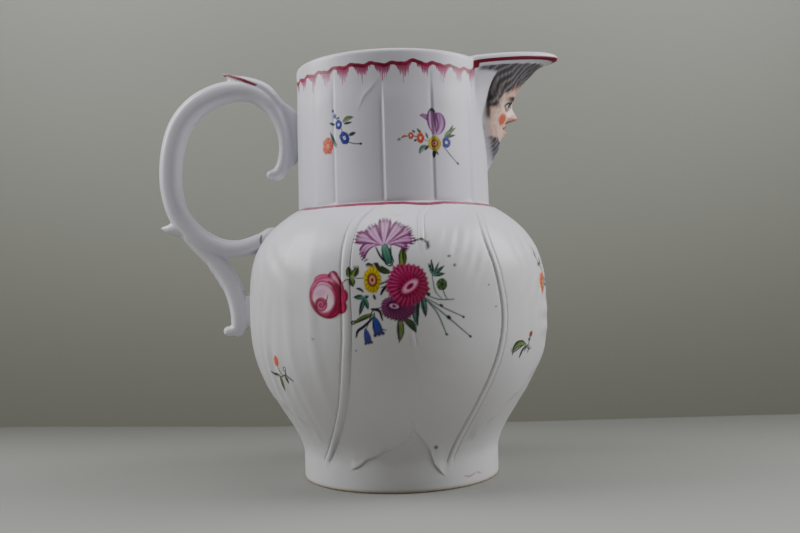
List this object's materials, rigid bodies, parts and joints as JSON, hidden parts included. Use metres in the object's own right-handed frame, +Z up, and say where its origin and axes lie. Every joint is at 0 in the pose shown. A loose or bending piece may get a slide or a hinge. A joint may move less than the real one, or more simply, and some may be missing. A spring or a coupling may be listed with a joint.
{
  "type": "mask jug",
  "caption": "Footed pear-bellied porcelain jug with a straight neck, a pointed pouring lip over a bearded mask, and a scrolled loop handle.",
  "frame": {"origin": "centre of the flat underside of the foot", "axes": "+Z up along the jug's axis, +X towards the pouring lip, -X towards the handle, Y across"},
  "size_m": [0.2006, 0.1463, 0.2053],
  "materials": {
    "glazed_porcelain": "clear glaze over pale grey-white porcelain, painted with enamel flowers"
  },
  "bodies": {
    "root": {"mask_jug": "glazed_porcelain"}
  },
  "joints": []
}
